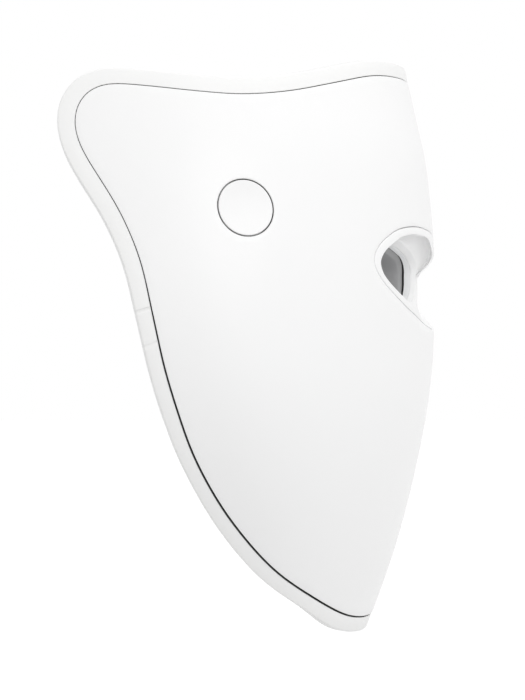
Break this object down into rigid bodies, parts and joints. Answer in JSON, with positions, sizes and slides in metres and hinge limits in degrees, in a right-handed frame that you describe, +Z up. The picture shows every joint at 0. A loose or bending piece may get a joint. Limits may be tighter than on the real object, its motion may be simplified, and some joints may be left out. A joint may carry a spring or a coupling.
{
  "type": "led face mask",
  "caption": "Rigid light-therapy face mask with a smooth curved shell, framed eye openings, temple push buttons, a translucent lamp liner and a soft seal.",
  "frame": {"origin": "midway between the eyes where the nose bridge rests, on the mask's plane of symmetry", "axes": "+Z up the face, -Y out of the mask's front, +X towards the wearer's left"},
  "size_m": [0.176, 0.1323, 0.2024],
  "materials": {
    "shell_white": "satin white moulded plastic",
    "frame_white": "fine matt off-white moulded plastic",
    "bezel_white": "fine matt white moulded plastic",
    "button_white": "satin white moulded plastic",
    "liner_clear": "milky translucent plastic",
    "silicone_grey": "matt dark grey silicone",
    "silicone_white": "matt white silicone",
    "board_white": "white solder mask",
    "board_green": "green solder mask",
    "cell_foil": "satin foil pouch",
    "steel": "plain steel"
  },
  "bodies": {
    "mask": {"front_shell": "shell_white", "rim_frame": "frame_white", "inner_liner": "liner_clear", "eye_bezel_left": "bezel_white", "eye_bezel_right": "bezel_white", "eye_cup_left": "silicone_grey", "eye_cup_right": "silicone_grey", "switch_board_left": "board_green", "switch_board_right": "board_green", "light_board_forehead": "board_white", "light_board_cheek_left": "board_white", "light_board_cheek_right": "board_white", "light_board_chin": "board_white", "main_board": "board_green", "battery_cell_left": "cell_foil", "battery_cell_right": "cell_foil", "charging_socket": "steel", "socket_board": "board_green", "strap_anchor_left": "frame_white", "strap_anchor_right": "frame_white", "light_seal": "silicone_white", "forehead_pad": "silicone_white", "nose_pad": "silicone_white", "liner_screw_1": "steel", "liner_screw_2": "steel", "liner_screw_3": "steel", "liner_screw_4": "steel", "liner_screw_5": "steel", "liner_screw_6": "steel"},
    "button_right": {"button_right": "button_white"},
    "button_left": {"button_left": "button_white"}
  },
  "joints": [
    {"name": "button_right_press", "type": "slide", "parent": "mask", "child": "button_right", "axis": [0.9692, 0.2298, -0.0882], "range_m": [0, 0.0005], "stiffness_N_per_m": 1500},
    {"name": "button_left_press", "type": "slide", "parent": "mask", "child": "button_left", "axis": [-0.9692, 0.2298, -0.0882], "range_m": [0, 0.0005], "stiffness_N_per_m": 1500}
  ]
}
